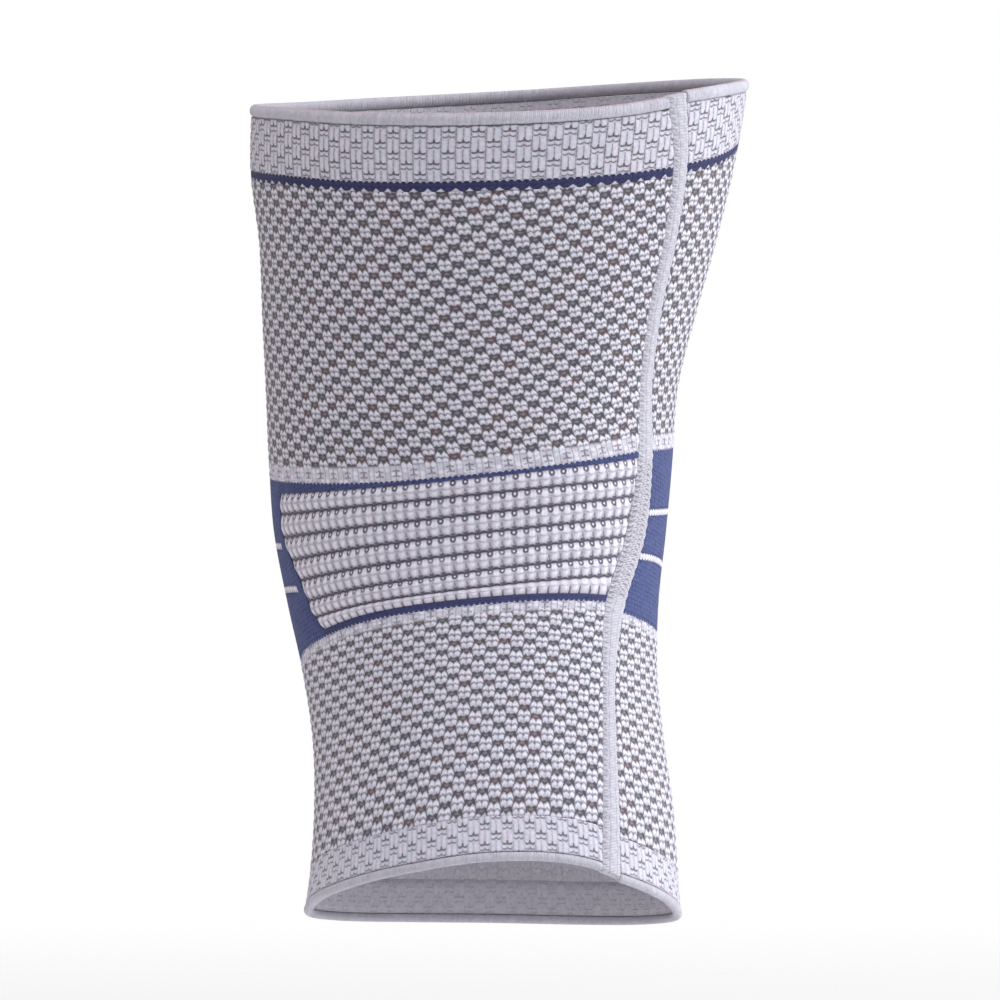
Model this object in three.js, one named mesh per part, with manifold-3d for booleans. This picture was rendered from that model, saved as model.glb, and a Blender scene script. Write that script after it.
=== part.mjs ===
// A knitted knee sleeve, as it stands when worn on a slightly bent leg.
//
// The origin is the middle of the knee. +Z runs up the thigh, -Y is the hollow of the knee and
// +X is the side with the lengthwise seam. Lengths are in millimetres, angles in degrees.
//
// A place on the sleeve is given by its turn and its height. The turn goes from 0 at the middle of
// the back over 90 at +X and 180 at the kneecap to 360. Each knitted zone is a C-shaped wall that
// starts at the right edge of the seam, goes round the knee and ends at the seam's left edge.

import * as THREE from "three";
import Module from "manifold-3d";
import { mergeVertices } from "three/addons/utils/BufferGeometryUtils.js";

// Lengths from the middle of the knee to the front of each hem.
const thighLength = 142;
const calfLength = 117;

// Widths from side to side: under the thigh hem, at the knee, below it and at the calf hem.
const thighWidth = 149;
const kneeWidth = 119.4;
const waistWidth = 106.2;
const calfWidth = 112.4;

// Depths from the middle line to the back and to the front, at the same four places.
const thighBack = 76;
const kneeBack = 56;
const waistBack = 57;
const calfBack = 60;
const thighFront = 74;
const kneeFront = 68;
const waistFront = 54;
const calfFront = 54;

// How far the thigh and the calf lean back from the upright, and the length of the bend between.
const thighLean = 9;
const calfLean = 19;
const bendLength = 30;

// The knit: its wall, the welts, the coloured lines, the ribs and the seam.
const wall = 2;
const thighHemHeight = 3.8;
const thighHemThickness = 3.2;
const calfHemHeight = 2.6;
const calfHemThickness = 2.8;
const calfCuffHeight = 10.2;
const stripeHeight = 3;
const whiteStripeHeight = 2.1;
const edgeHeight = 3.4;
const lowerEdgeHeight = 2.1;
const borderWidth = 5;
const ribRows = 7;
const ribRelief = 1.3;
const ribSink = 0.4;
const seamWidth = 10.5;
const seamRelief = 0.6;

// The clearance between the knitted zones, and between their ends and the seam.
const gap = 0.3;
const seamGap = 0.4;

// Flat steps round the whole sleeve, along a white line and across the ribbed panel.
const stepsRound = 48;
const stepsWhiteLine = 28;
const stepsPanel = 16;

// How much further than an ellipse a section reaches half-way between its axes, as a share.
const backSquareness = 0.05;
const frontSquareness = -0.03;

// The tables give heights as shares of the thigh length above the knee and of the calf length
// below it.
const heightOf = (share) => share * (share > 0 ? thighLength : calfLength);
const named = (columns, rows) =>
  rows.map((row) => Object.fromEntries(columns.map((column, i) => [column, row[i]])));

// Sections. Form 0 is the knee's, 1 the thigh's or the waist's, 2 the calf hem's. The shift goes
// to +X as a share of the knee's width. The seam's turn is in degrees and its width a share.
const sections = named(
  ["height", "form", "shift", "seamTurn", "seamShare"],
  [
    [-1.2, 2, 0.055, 36, 0.66],
    [-0.921, 2, 0.059, 36.4, 0.66],
    [-0.861, 1.77, 0.061, 36.6, 0.65],
    [-0.678, 1.33, 0.061, 37.8, 0.6],
    [-0.494, 1, 0.046, 40.6, 0.52],
    [-0.34, 0.91, 0.027, 43, 0.5],
    [-0.154, 0.5, 0.008, 46.1, 0.84],
    [0.028, 0, 0, 53.6, 1],
    [0.182, 0.115, 0.002, 55.2, 0.8],
    [0.337, 0.196, 0.005, 53, 0.62],
    [0.49, 0.405, 0.023, 49.8, 0.58],
    [0.644, 0.635, 0.045, 48.6, 0.58],
    [0.796, 0.892, 0.056, 46.8, 0.6],
    [0.949, 1, 0.074, 42, 0.75],
    [1.1, 1, 0.085, 41, 0.8],
  ],
);

// Lines that run round the sleeve, by turn: the edge of the thigh hem, the top of the blue line
// under the cuff, the top of the knee band, its two white lines, its lower edge and the edge of
// the calf hem, and the share of edgeHeight that the band keeps above the ribbed panel.
const courses = named(
  ["turn", "hem", "stripe", "bandTop", "whiteUpper", "whiteLower", "bandLow", "end", "edge"],
  [
    [45, 0.944, 0.79, 0.197, 0.068, -0.021, -0.161, -0.853, 1],
    [60, 0.964, 0.815, 0.202, 0.07, -0.029, -0.191, -0.891, 1],
    [90, 0.993, 0.865, 0.211, 0.073, -0.056, -0.234, -0.957, 1],
    [120, 1.01, 0.877, 0.214, 0.077, -0.077, -0.265, -0.988, 1],
    [150, 1.011, 0.876, 0.211, 0.077, -0.098, -0.295, -1, 1],
    [180, 1, 0.863, 0.201, 0.068, -0.111, -0.316, -1, 1],
    [210, 0.982, 0.845, 0.186, 0.049, -0.12, -0.329, -0.993, 1],
    [240, 0.96, 0.823, 0.166, 0.025, -0.122, -0.33, -0.978, 1],
    [270, 0.94, 0.803, 0.146, 0.001, -0.118, -0.311, -0.947, 1],
    [300, 0.918, 0.78, 0.135, -0.002, -0.111, -0.253, -0.884, 1],
    [330, 0.894, 0.755, 0.133, -0.002, -0.111, -0.186, -0.821, 0.5],
    [360, 0.891, 0.754, 0.15, -0.002, -0.111, -0.15, -0.784, 0.36],
    [390, 0.912, 0.77, 0.177, -0.002, -0.111, -0.138, -0.803, 0.45],
    [410, 0.948, 0.796, 0.199, -0.002, -0.111, -0.147, -0.868, 0.62],
  ],
);

// The left edge of the ribbed panel, from its foot to its top.
const panelEdge = named(
  ["height", "turn"],
  [
    [-0.21, 309],
    [-0.174, 305],
    [-0.103, 301.5],
    [-0.05, 298],
    [0.021, 292.5],
    [0.109, 294],
  ],
);

// A smooth line through the rows of a table, straight beyond its ends.
function smoothLine(at, values) {
  const secant = (i) => (values[i + 1] - values[i]) / (at[i + 1] - at[i]);
  const last = at.length - 1;
  const slopes = values.map((_, i) => {
    if (i === 0) return secant(0);
    if (i === last) return secant(last - 1);
    const before = at[i] - at[i - 1];
    const after = at[i + 1] - at[i];
    return (secant(i - 1) * after + secant(i) * before) / (before + after);
  });
  return (x) => {
    if (x <= at[0]) return values[0] + slopes[0] * (x - at[0]);
    if (x >= at[last]) return values[last] + slopes[last] * (x - at[last]);
    const i = at.findIndex((_, k) => x < at[k + 1]);
    const step = at[i + 1] - at[i];
    const t = (x - at[i]) / step;
    const rise = values[i + 1] - values[i];
    const start = slopes[i] * step;
    const stop = slopes[i + 1] * step;
    return values[i] + t * (start + t * (3 * rise - 2 * start - stop + t * (start + stop - 2 * rise)));
  };
}

const mix = THREE.MathUtils.lerp;
const sin = (turn) => Math.sin(THREE.MathUtils.degToRad(turn));
const cos = (turn) => Math.cos(THREE.MathUtils.degToRad(turn));

const byHeight = (table, value) =>
  smoothLine(table.map((row) => heightOf(row.height)), table.map(value));
const byTurn = (column) =>
  smoothLine(courses.map((row) => row.turn), courses.map((row) => heightOf(row[column])));

// One of the four sizes, or what lies between two of them, for a section's form.
const sized = (thigh, knee, waist, calf) =>
  byHeight(sections, ({ height, form }) => {
    if (height > 0) return mix(knee, thigh, form);
    return form <= 1 ? mix(knee, waist, form) : mix(waist, calf, form - 1);
  });

const widthAt = sized(thighWidth, kneeWidth, waistWidth, calfWidth);
const backAt = sized(thighBack, kneeBack, waistBack, calfBack);
const frontAt = sized(thighFront, kneeFront, waistFront, calfFront);
const shiftAt = byHeight(sections, ({ shift }) => shift * kneeWidth);
const seamTurnAt = byHeight(sections, ({ seamTurn }) => seamTurn);
const seamWidthAt = byHeight(sections, ({ seamShare }) => seamShare * seamWidth);
const panelEdgeAt = byHeight(panelEdge, ({ turn }) => turn);

const hemLine = byTurn("hem");
const stripeLine = byTurn("stripe");
const bandTopLine = byTurn("bandTop");
const whiteUpperLine = byTurn("whiteUpper");
const whiteLowerLine = byTurn("whiteLower");
const bandLowLine = byTurn("bandLow");
const endLine = byTurn("end");
const edgeShare = smoothLine(courses.map((row) => row.turn), courses.map((row) => row.edge));
const windowTopLine = (turn) => bandTopLine(turn) - edgeHeight * edgeShare(turn);
const windowLowLine = (turn) => bandLowLine(turn) + lowerEdgeHeight;

// How far the leg's middle line has leaned back at a height.
function leanAt(height) {
  const slope = Math.tan(THREE.MathUtils.degToRad(height > 0 ? thighLean : calfLean));
  return -slope * (Math.hypot(height, bendLength) - bendLength);
}

// The sleeve's outer face.
function skin(turn, height) {
  const atBack = cos(turn) > 0;
  const squareness = atBack ? backSquareness : frontSquareness;
  const reach = 1 + squareness * sin(2 * turn) ** 2;
  const depth = atBack ? backAt(height) : frontAt(height);
  return new THREE.Vector3(
    shiftAt(height) + (reach * widthAt(height) * sin(turn)) / 2,
    leanAt(height) - reach * depth * cos(turn),
    height,
  );
}

// A point that lies off the outer face along its normal, outward where out is above 0.
function offSkin(turn, height, out) {
  const nudge = 0.5;
  const round = skin(turn + nudge, height).sub(skin(turn - nudge, height));
  const up = skin(turn, height + nudge).sub(skin(turn, height - nudge));
  return skin(turn, height).addScaledVector(round.cross(up).normalize(), out);
}

// The turn at an edge of the seam: side is 1 for the right edge and -1 for the left one.
function seamEdge(height, side, clearance) {
  const turn = seamTurnAt(height);
  const perDegree = skin(turn + 0.5, height).distanceTo(skin(turn - 0.5, height));
  return turn + (side * (seamWidthAt(height) / 2 + clearance)) / perDegree;
}

const startAtSeam = (height) => seamEdge(height, 1, seamGap);
const endAtSeam = (height) => seamEdge(height, -1, seamGap) + 360;

// A closed body bent out of a unit box: across the box goes round the sleeve from one turn to
// another, its height goes from the lower line to the upper one, and its depth into the wall.
function bend({ start, stop, low, high, around, rows, layers = 1, shape }) {
  const box = new THREE.BoxGeometry(1, 1, 1, around, rows, layers);
  const points = box.attributes.position;
  const corner = new THREE.Vector3();
  for (let i = 0; i < points.count; i += 1) {
    corner.fromBufferAttribute(points, i);
    const { up, out } = shape(corner.y + 0.5, corner.z + 0.5, corner.x + 0.5);
    let turn = 180;
    let height = mix(low(turn), high(turn), up);
    for (let pass = 0; pass < 8; pass += 1) {
      turn = mix(start(height), stop(height), corner.x + 0.5);
      height = mix(low(turn), high(turn), up);
    }
    corner.copy(offSkin(turn, height, out));
    points.setXYZ(i, corner.x, corner.y, corner.z);
  }
  return merged(box);
}

// The same triangles with each corner held once.
function merged(geometry) {
  geometry.deleteAttribute("normal");
  geometry.deleteAttribute("uv");
  const solid = mergeVertices(geometry);
  solid.computeVertexNormals();
  return solid;
}

// Shapes of a cross-section: up goes from 0 at the lower line to 1 at the upper one, and out is
// the distance off the outer face. Depth goes from 0 inside to 1 outside.
const flatWall = (up, depth) => ({ up, out: (depth - 1) * wall });

// A welt's section is an ellipse: a square is drawn in to a disc.
const welt = (thickness) => (up, depth) => {
  const q = 2 * up - 1;
  const p = 2 * depth - 1;
  const round = q * Math.sqrt(1 - (p * p) / 2);
  const thick = p * Math.sqrt(1 - (q * q) / 2);
  return { up: (round + 1) / 2, out: (thick * thickness) / 2 - wall / 2 };
};

const ribbedWall = (up, depth) => {
  const crest = ribRelief * Math.abs(Math.sin(Math.PI * ribRows * up)) - ribSink;
  return { up, out: mix(-wall, crest, depth) };
};

// The seam is a flat strip with a low crown.
const seamWall = (up, depth, across) => {
  const crown = seamRelief * (1 - (2 * across - 1) ** 2);
  return { up, out: mix(-wall, crown, depth) };
};

const shifted = (line, by) => (turn) => line(turn) + by;

// A zone that goes all the way round, between two lines and clear of its neighbours.
const zone = (low, high, options) =>
  bend({
    start: startAtSeam,
    stop: endAtSeam,
    low: shifted(low, gap / 2),
    high: shifted(high, -gap / 2),
    around: stepsRound,
    shape: flatWall,
    ...options,
  });

const wasm = await Module();
wasm.setup();

function toSolid(geometry) {
  return new wasm.Manifold(
    new wasm.Mesh({
      numProp: 3,
      vertProperties: new Float32Array(geometry.attributes.position.array),
      triVerts: new Uint32Array(geometry.index.array),
    }),
  );
}

function toGeometry(solid) {
  const mesh = solid.getMesh();
  const geometry = new THREE.BufferGeometry();
  geometry.setAttribute("position", new THREE.BufferAttribute(mesh.vertProperties, 3));
  geometry.setIndex(new THREE.BufferAttribute(mesh.triVerts, 1));
  geometry.computeVertexNormals();
  return geometry;
}

const material = (color, roughness) => new THREE.MeshStandardMaterial({ color, roughness, metalness: 0 });
const tweed = material(0xb1afbc, 0.9);
const brick = material(0xbab6c2, 0.9);
const paleYarn = material(0xcfccd8, 0.85);
const navy = material(0x2c2f5c, 0.85);
const blue = material(0x4d5590, 0.85);
const white = material(0xe8e6ee, 0.85);

const sleeve = new THREE.Group();

function addPiece(name, geometry, look) {
  const piece = new THREE.Mesh(geometry, look);
  piece.name = name;
  sleeve.add(piece);
}

const underThighHem = shifted(hemLine, -thighHemHeight);
const underStripe = shifted(stripeLine, -stripeHeight);
const aboveCalfHem = shifted(endLine, calfHemHeight);
const aboveCalfCuff = shifted(endLine, calfHemHeight + calfCuffHeight);

const thighHem = zone(underThighHem, hemLine, { rows: 2, layers: 2, shape: welt(thighHemThickness) });
addPiece("thigh_hem", thighHem, paleYarn);
addPiece("thigh_cuff", zone(stripeLine, underThighHem, { rows: 1 }), brick);
addPiece("thigh_stripe", zone(underStripe, stripeLine, { rows: 1 }), navy);
addPiece("thigh_panel", zone(bandTopLine, underStripe, { rows: 6 }), tweed);

// The ribbed panel sits in a window of the band that is open to the seam.
function panelBody(clearance, options) {
  return bend({
    start: (height) => panelEdgeAt(height) - clearance,
    stop: endAtSeam,
    low: shifted(windowLowLine, -clearance),
    high: shifted(windowTopLine, clearance),
    around: stepsPanel,
    rows: 3 * ribRows,
    ...options,
  });
}

const cutDepth = 3;
const cutThrough = (up, depth) => ({ up, out: mix(-wall - cutDepth, cutDepth, depth) });
const pastSeam = (height) => endAtSeam(height) + 1;
const beforeSeam = (height) => startAtSeam(height) - 1;

const panelWindow = panelBody(gap, { stop: pastSeam, rows: 2 * ribRows, shape: cutThrough });
const ribs = panelBody(0, { shape: ribbedWall });

// A white line runs from the seam round the front and stops a border's width before the panel.
function whiteLine(middle, clearance, options) {
  const perDegree = (height) => skin(270.5, height).distanceTo(skin(269.5, height));
  return bend({
    start: startAtSeam,
    stop: (height) => panelEdgeAt(height) - (borderWidth - clearance) / perDegree(height),
    low: shifted(middle, -whiteStripeHeight / 2 - clearance),
    high: shifted(middle, whiteStripeHeight / 2 + clearance),
    around: stepsWhiteLine,
    rows: 1,
    shape: flatWall,
    ...options,
  });
}

let band = toSolid(zone(bandLowLine, bandTopLine, { rows: 7 }));
band = band.subtract(toSolid(panelWindow));
for (const middle of [whiteUpperLine, whiteLowerLine]) {
  const slot = whiteLine(middle, gap, { start: beforeSeam, shape: cutThrough });
  band = band.subtract(toSolid(slot));
}
addPiece("knee_band", toGeometry(band), blue);
addPiece("knee_stripe_upper", whiteLine(whiteUpperLine, 0), white);
addPiece("knee_stripe_lower", whiteLine(whiteLowerLine, 0), white);
addPiece("popliteal_panel", ribs, paleYarn);

addPiece("calf_panel", zone(aboveCalfCuff, bandLowLine, { rows: 6 }), tweed);
addPiece("calf_cuff", zone(aboveCalfHem, aboveCalfCuff, { rows: 1 }), brick);
const calfHem = zone(endLine, aboveCalfHem, { rows: 2, layers: 2, shape: welt(calfHemThickness) });
addPiece("calf_hem", calfHem, paleYarn);

// The seam follows its own turn from the calf hem to the thigh hem.
const seam = bend({
  start: (height) => seamEdge(height, -1, 0) + 360,
  stop: (height) => seamEdge(height, 1, 0) + 360,
  low: endLine,
  high: hemLine,
  around: 3,
  rows: 48,
  shape: seamWall,
});
addPiece("seam", seam, paleYarn);

export default sleeve;
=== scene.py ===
import math
import bmesh
import bpy
import numpy as np
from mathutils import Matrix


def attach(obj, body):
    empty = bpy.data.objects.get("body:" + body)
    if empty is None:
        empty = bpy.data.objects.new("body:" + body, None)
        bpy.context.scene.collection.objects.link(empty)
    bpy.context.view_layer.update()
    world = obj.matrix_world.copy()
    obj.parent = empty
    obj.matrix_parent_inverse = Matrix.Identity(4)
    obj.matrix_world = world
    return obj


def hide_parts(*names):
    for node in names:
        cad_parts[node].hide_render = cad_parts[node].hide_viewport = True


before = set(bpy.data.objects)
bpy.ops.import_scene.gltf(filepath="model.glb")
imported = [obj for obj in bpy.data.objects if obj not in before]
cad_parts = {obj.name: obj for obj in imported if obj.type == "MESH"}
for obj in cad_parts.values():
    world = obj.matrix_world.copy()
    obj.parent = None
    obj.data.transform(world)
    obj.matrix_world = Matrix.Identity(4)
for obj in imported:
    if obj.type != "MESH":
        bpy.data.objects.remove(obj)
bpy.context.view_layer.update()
print("frame loaded")

# The sleeve's surface, in millimetres and degrees. A place on it has a turn, from 0 at the middle
# of the back over 90 at +X and 180 at the kneecap to 360, and a height above the knee.

leg = {
    "thighLength": 142, "calfLength": 117,
    "thighWidth": 149, "kneeWidth": 119.4, "waistWidth": 106.2, "calfWidth": 112.4,
    "thighBack": 76, "kneeBack": 56, "waistBack": 57, "calfBack": 60,
    "thighFront": 74, "kneeFront": 68, "waistFront": 54, "calfFront": 54,
    "thighLean": 9, "calfLean": 19, "bendLength": 30,
    "backSquareness": 0.05, "frontSquareness": -0.03,
    "wall": 2, "seamWidth": 10.5, "joint": 0.03,
}

# Sections by height, a share of the thigh or calf length. Form 0 is the knee's, 1 the thigh's or
# the waist's, 2 the calf hem's.
sections = {
    "height": [-1.2, -0.921, -0.861, -0.678, -0.494, -0.34, -0.154, 0.028,
               0.182, 0.337, 0.49, 0.644, 0.796, 0.949, 1.1],
    "form": [2, 2, 1.77, 1.33, 1, 0.91, 0.5, 0, 0.115, 0.196, 0.405, 0.635, 0.892, 1, 1],
    "shift": [0.055, 0.059, 0.061, 0.061, 0.046, 0.027, 0.008, 0,
              0.002, 0.005, 0.023, 0.045, 0.056, 0.074, 0.085],
    "seamTurn": [36, 36.4, 36.6, 37.8, 40.6, 43, 46.1, 53.6, 55.2, 53, 49.8, 48.6, 46.8, 42, 41],
    "seamShare": [0.66, 0.66, 0.65, 0.6, 0.52, 0.5, 0.84, 1, 0.8, 0.62, 0.58, 0.58, 0.6, 0.75, 0.8],
}

# Lines round the sleeve by turn, in the same shares.
courses = {
    "turn": [45, 60, 90, 120, 150, 180, 210, 240, 270, 300, 330, 360, 390, 410],
    "hem": [0.944, 0.964, 0.993, 1.01, 1.011, 1, 0.982, 0.96,
            0.94, 0.918, 0.894, 0.891, 0.912, 0.948],
    "stripe": [0.79, 0.815, 0.865, 0.877, 0.876, 0.863, 0.845, 0.823,
               0.803, 0.78, 0.755, 0.754, 0.77, 0.796],
    "bandTop": [0.197, 0.202, 0.211, 0.214, 0.211, 0.201, 0.186, 0.166,
                0.146, 0.135, 0.133, 0.15, 0.177, 0.199],
    "whiteUpper": [0.068, 0.07, 0.073, 0.077, 0.077, 0.068, 0.049, 0.025,
                   0.001, -0.002, -0.002, -0.002, -0.002, -0.002],
    "whiteLower": [-0.021, -0.029, -0.056, -0.077, -0.098, -0.111, -0.12, -0.122,
                   -0.118, -0.111, -0.111, -0.111, -0.111, -0.111],
    "bandLow": [-0.161, -0.191, -0.234, -0.265, -0.295, -0.316, -0.329, -0.33,
                -0.311, -0.253, -0.186, -0.15, -0.138, -0.147],
    "end": [-0.853, -0.891, -0.957, -0.988, -1, -1, -0.993, -0.978,
            -0.947, -0.884, -0.821, -0.784, -0.803, -0.868],
    "edge": [1, 1, 1, 1, 1, 1, 1, 1, 1, 1, 0.5, 0.36, 0.45, 0.62],
}
panelEdge = {
    "height": [-0.21, -0.174, -0.103, -0.05, 0.021, 0.109],
    "turn": [309, 305, 301.5, 298, 292.5, 294],
}


def mix(a, b, t):
    return a + (b - a) * t


def smoothLine(at, values):
    at, values = np.array(at, float), np.array(values, float)
    steps = np.diff(at)
    secants = np.diff(values) / steps
    inner = secants[:-1] * steps[1:] + secants[1:] * steps[:-1]
    slopes = np.concatenate([secants[:1], inner / (steps[:-1] + steps[1:]), secants[-1:]])

    def line(x):
        x = np.asarray(x, float)
        i = np.clip(np.searchsorted(at, x, "right") - 1, 0, len(steps) - 1)
        t = (x - at[i]) / steps[i]
        rise = values[i + 1] - values[i]
        start, stop = slopes[i] * steps[i], slopes[i + 1] * steps[i]
        curve = t * (3 * rise - 2 * start - stop + t * (start + stop - 2 * rise))
        inside = values[i] + t * (start + curve)
        below = values[0] + slopes[0] * (x - at[0])
        above = values[-1] + slopes[-1] * (x - at[-1])
        return np.where(x < at[0], below, np.where(x > at[-1], above, inside))

    return line


def heightOf(share):
    return share * (leg["thighLength"] if share > 0 else leg["calfLength"])


sectionHeights = [heightOf(share) for share in sections["height"]]


def sized(name):
    thigh, knee, waist, calf = (leg[part + name] for part in ("thigh", "knee", "waist", "calf"))
    values = []
    for share, form in zip(sections["height"], sections["form"]):
        if share > 0:
            values.append(mix(knee, thigh, form))
        else:
            values.append(mix(knee, waist, form) if form <= 1 else mix(waist, calf, form - 1))
    return smoothLine(sectionHeights, values)


widthAt, backAt, frontAt = sized("Width"), sized("Back"), sized("Front")
shiftAt = smoothLine(sectionHeights, [s * leg["kneeWidth"] for s in sections["shift"]])
seamTurnAt = smoothLine(sectionHeights, sections["seamTurn"])
seamWidthAt = smoothLine(sectionHeights, [s * leg["seamWidth"] for s in sections["seamShare"]])
panelEdgeAt = smoothLine([heightOf(s) for s in panelEdge["height"]], panelEdge["turn"])
edgeShare = smoothLine(courses["turn"], courses["edge"])
lineOf = {
    name: smoothLine(courses["turn"], [heightOf(s) for s in shares])
    for name, shares in courses.items() if name not in ("turn", "edge")
}


def leanAt(height):
    slope = np.tan(np.radians(np.where(height > 0, leg["thighLean"], leg["calfLean"])))
    return -slope * (np.hypot(height, leg["bendLength"]) - leg["bendLength"])


def skin(turn, height):
    a = np.radians(turn)
    atBack = np.cos(a) > 0
    squareness = np.where(atBack, leg["backSquareness"], leg["frontSquareness"])
    reach = 1 + squareness * np.sin(2 * a) ** 2
    depth = np.where(atBack, backAt(height), frontAt(height))
    x = shiftAt(height) + reach * widthAt(height) * np.sin(a) / 2
    return np.stack([x, leanAt(height) - reach * depth * np.cos(a), height + 0 * a], -1)


def offSkin(turn, height, out):
    nudge = 0.5
    around = skin(turn + nudge, height) - skin(turn - nudge, height)
    up = skin(turn, height + nudge) - skin(turn, height - nudge)
    normal = np.cross(around, up)
    normal /= np.linalg.norm(normal, axis=-1, keepdims=True)
    return skin(turn, height) + normal * np.asarray(out)[..., None]


def seamEdge(height, side, clearance):
    turn = seamTurnAt(height)
    perDegree = np.linalg.norm(skin(turn + 0.5, height) - skin(turn - 0.5, height), axis=-1)
    return turn + side * (seamWidthAt(height) / 2 + clearance) / perDegree


def startAtSeam(height):
    return seamEdge(height, 1, leg["joint"])


def endAtSeam(height):
    return seamEdge(height, -1, leg["joint"]) + 360


def shifted(line, by):
    return lambda turn: line(turn) + by


# How the knit runs: wales for each degree of turn, how they lean with the height, and how the
# courses climb with the turn. Each table goes from the right edge of the seam to its left edge.
# The lean is strongest at the middle height and bows off over the reach. Courses are for each
# millimetre of height, and grow a little with it on the calf.
thighKnit = {
    "turn": [45, 55, 70, 90, 180, 270, 285, 295, 310, 320, 332, 343, 353, 363, 374, 384, 393, 410],
    "wales": [0.14, 0.14, 0.13, 0.14, 0.145, 0.13, 0.105, 0.118, 0.166, 0.178,
              0.170, 0.160, 0.146, 0.143, 0.146, 0.152, 0.154, 0.145],
    "lean": [0, 0, 0, 0, 0, 0.02, 0.022, 0.025, 0.031, 0.036,
             0.0407, 0.043, 0.0438, 0.0459, 0.0475, 0.052, 0.0563, 0.065],
    "climb": [-0.02, -0.015, -0.008, -0.004, 0.004, 0.018, 0.01, 0.012, 0.0157, 0.0121,
              0.0031, -0.0044, -0.0136, -0.0223, -0.031, -0.040, -0.0495, -0.052],
    "middle": 66, "bow": 1.05, "bowReach": 58, "courses": 0.195,
}
calfKnit = {
    "turn": [40, 50, 65, 90, 180, 270, 290, 303, 322, 336, 349, 362, 374, 387, 400],
    "wales": [0.1315, 0.1315, 0.11, 0.13, 0.135, 0.125, 0.11, 0.115,
              0.151, 0.148, 0.133, 0.129, 0.129, 0.1315, 0.1315],
    "lean": [-0.013, -0.013, -0.01, 0, 0, -0.02, -0.03, -0.035,
             -0.034, -0.029, -0.026, -0.026, -0.026, -0.025, -0.024],
    "climb": [0.038, 0.036, 0.027, 0.012, -0.004, -0.02, -0.028, -0.032,
              -0.041, -0.036, -0.0205, -0.009, 0.0045, 0.0236, 0.035],
    "middle": -48, "bow": 1, "bowReach": 45, "courses": 0.195, "growth": 0.0004, "start": -51,
}
plainKnit = {"courseHeight": 6, "cuffLean": 0.006}


def added(table, column):
    turns = np.linspace(30, 420, 781)
    rates = np.interp(turns, table["turn"], table[column])
    sums = np.cumsum(rates) * (turns[1] - turns[0])
    return lambda turn: np.interp(turn, turns, sums)


thighWales, thighClimb = added(thighKnit, "wales"), added(thighKnit, "climb")
calfWales, calfClimb = added(calfKnit, "wales"), added(calfKnit, "climb")


def leaned(table, turn, height):
    x = height - table["middle"]
    bow = table["bow"] * (x - x ** 3 / (3 * table["bowReach"] ** 2))
    return np.interp(turn, table["turn"], table["lean"]) * bow


def thighStitch(turn, height):
    course = thighKnit["courses"] * height + thighClimb(turn)
    return thighWales(turn) + leaned(thighKnit, turn, height), course


def calfStitch(turn, height):
    up = height - calfKnit["start"]
    course = calfKnit["courses"] * up + calfKnit["growth"] * up ** 2
    return calfWales(turn) + leaned(calfKnit, turn, height), course + calfClimb(turn)


def plainStitch(low):
    return lambda turn, height: (
        thighWales(turn), (height - low(turn)) / plainKnit["courseHeight"])


def cuffStitch(turn, height):
    up = height - lineOf["stripe"](turn)
    return thighWales(turn) + plainKnit["cuffLean"] * up, up / plainKnit["courseHeight"]


# Meshes. A zone is a grid whose columns go round the sleeve and whose rows go once round its
# wall: up the outer face, over the rim, down the inner face and back.

def wallRows(rows, innerRows, rim):
    outer = [(k / rows, 1.0) for k in range(rows + 1)]
    over = [(1.0, 1 - (k + 1) / (rim + 1)) for k in range(rim)]
    inner = [(1 - k / innerRows, 0.0) for k in range(innerRows + 1)]
    under = [(0.0, (k + 1) / (rim + 1)) for k in range(rim + 1)]
    return np.array(outer + over + inner + under)


def flatWall(up, depth, across):
    return up, (depth - 1) * leg["wall"]


# Finds each point's turn and height between lines that themselves depend on both.
def placed(zone, across, up):
    turn = np.full_like(across, 180.0)
    for _ in range(8):
        height = mix(zone["low"](turn), zone["high"](turn), up)
        turn = mix(zone["start"](height), zone["stop"](height), across)
    return turn, mix(zone["low"](turn), zone["high"](turn), up)


def setPoints(mesh, points):
    mesh.vertices.foreach_set("co", (points / 1000).astype(np.float32).ravel())


def setField(mesh, name, columns):
    field = mesh.attributes.get(name) or mesh.attributes.new(name, "FLOAT_VECTOR", "POINT")
    field.data.foreach_set("vector", np.stack(columns, -1).astype(np.float32).ravel())


def fieldOf(mesh, name):
    flat = np.zeros(len(mesh.vertices) * 3, np.float32)
    mesh.attributes[name].data.foreach_get("vector", flat)
    return flat.reshape(-1, 3).astype(float)


def finished(name, mesh, material, nodes):
    for face in mesh.polygons:
        face.use_smooth = True
    piece = bpy.data.objects.new(name, mesh)
    bpy.context.scene.collection.objects.link(piece)
    mesh.materials.append(material)
    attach(piece, "root")
    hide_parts(*nodes)
    return piece


def closed(mesh):
    form = bmesh.new()
    form.from_mesh(mesh)
    bmesh.ops.remove_doubles(form, verts=form.verts, dist=1e-6)
    bmesh.ops.holes_fill(form, edges=form.edges, sides=0)
    bmesh.ops.recalc_face_normals(form, faces=form.faces)
    form.to_mesh(mesh)
    form.free()


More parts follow.
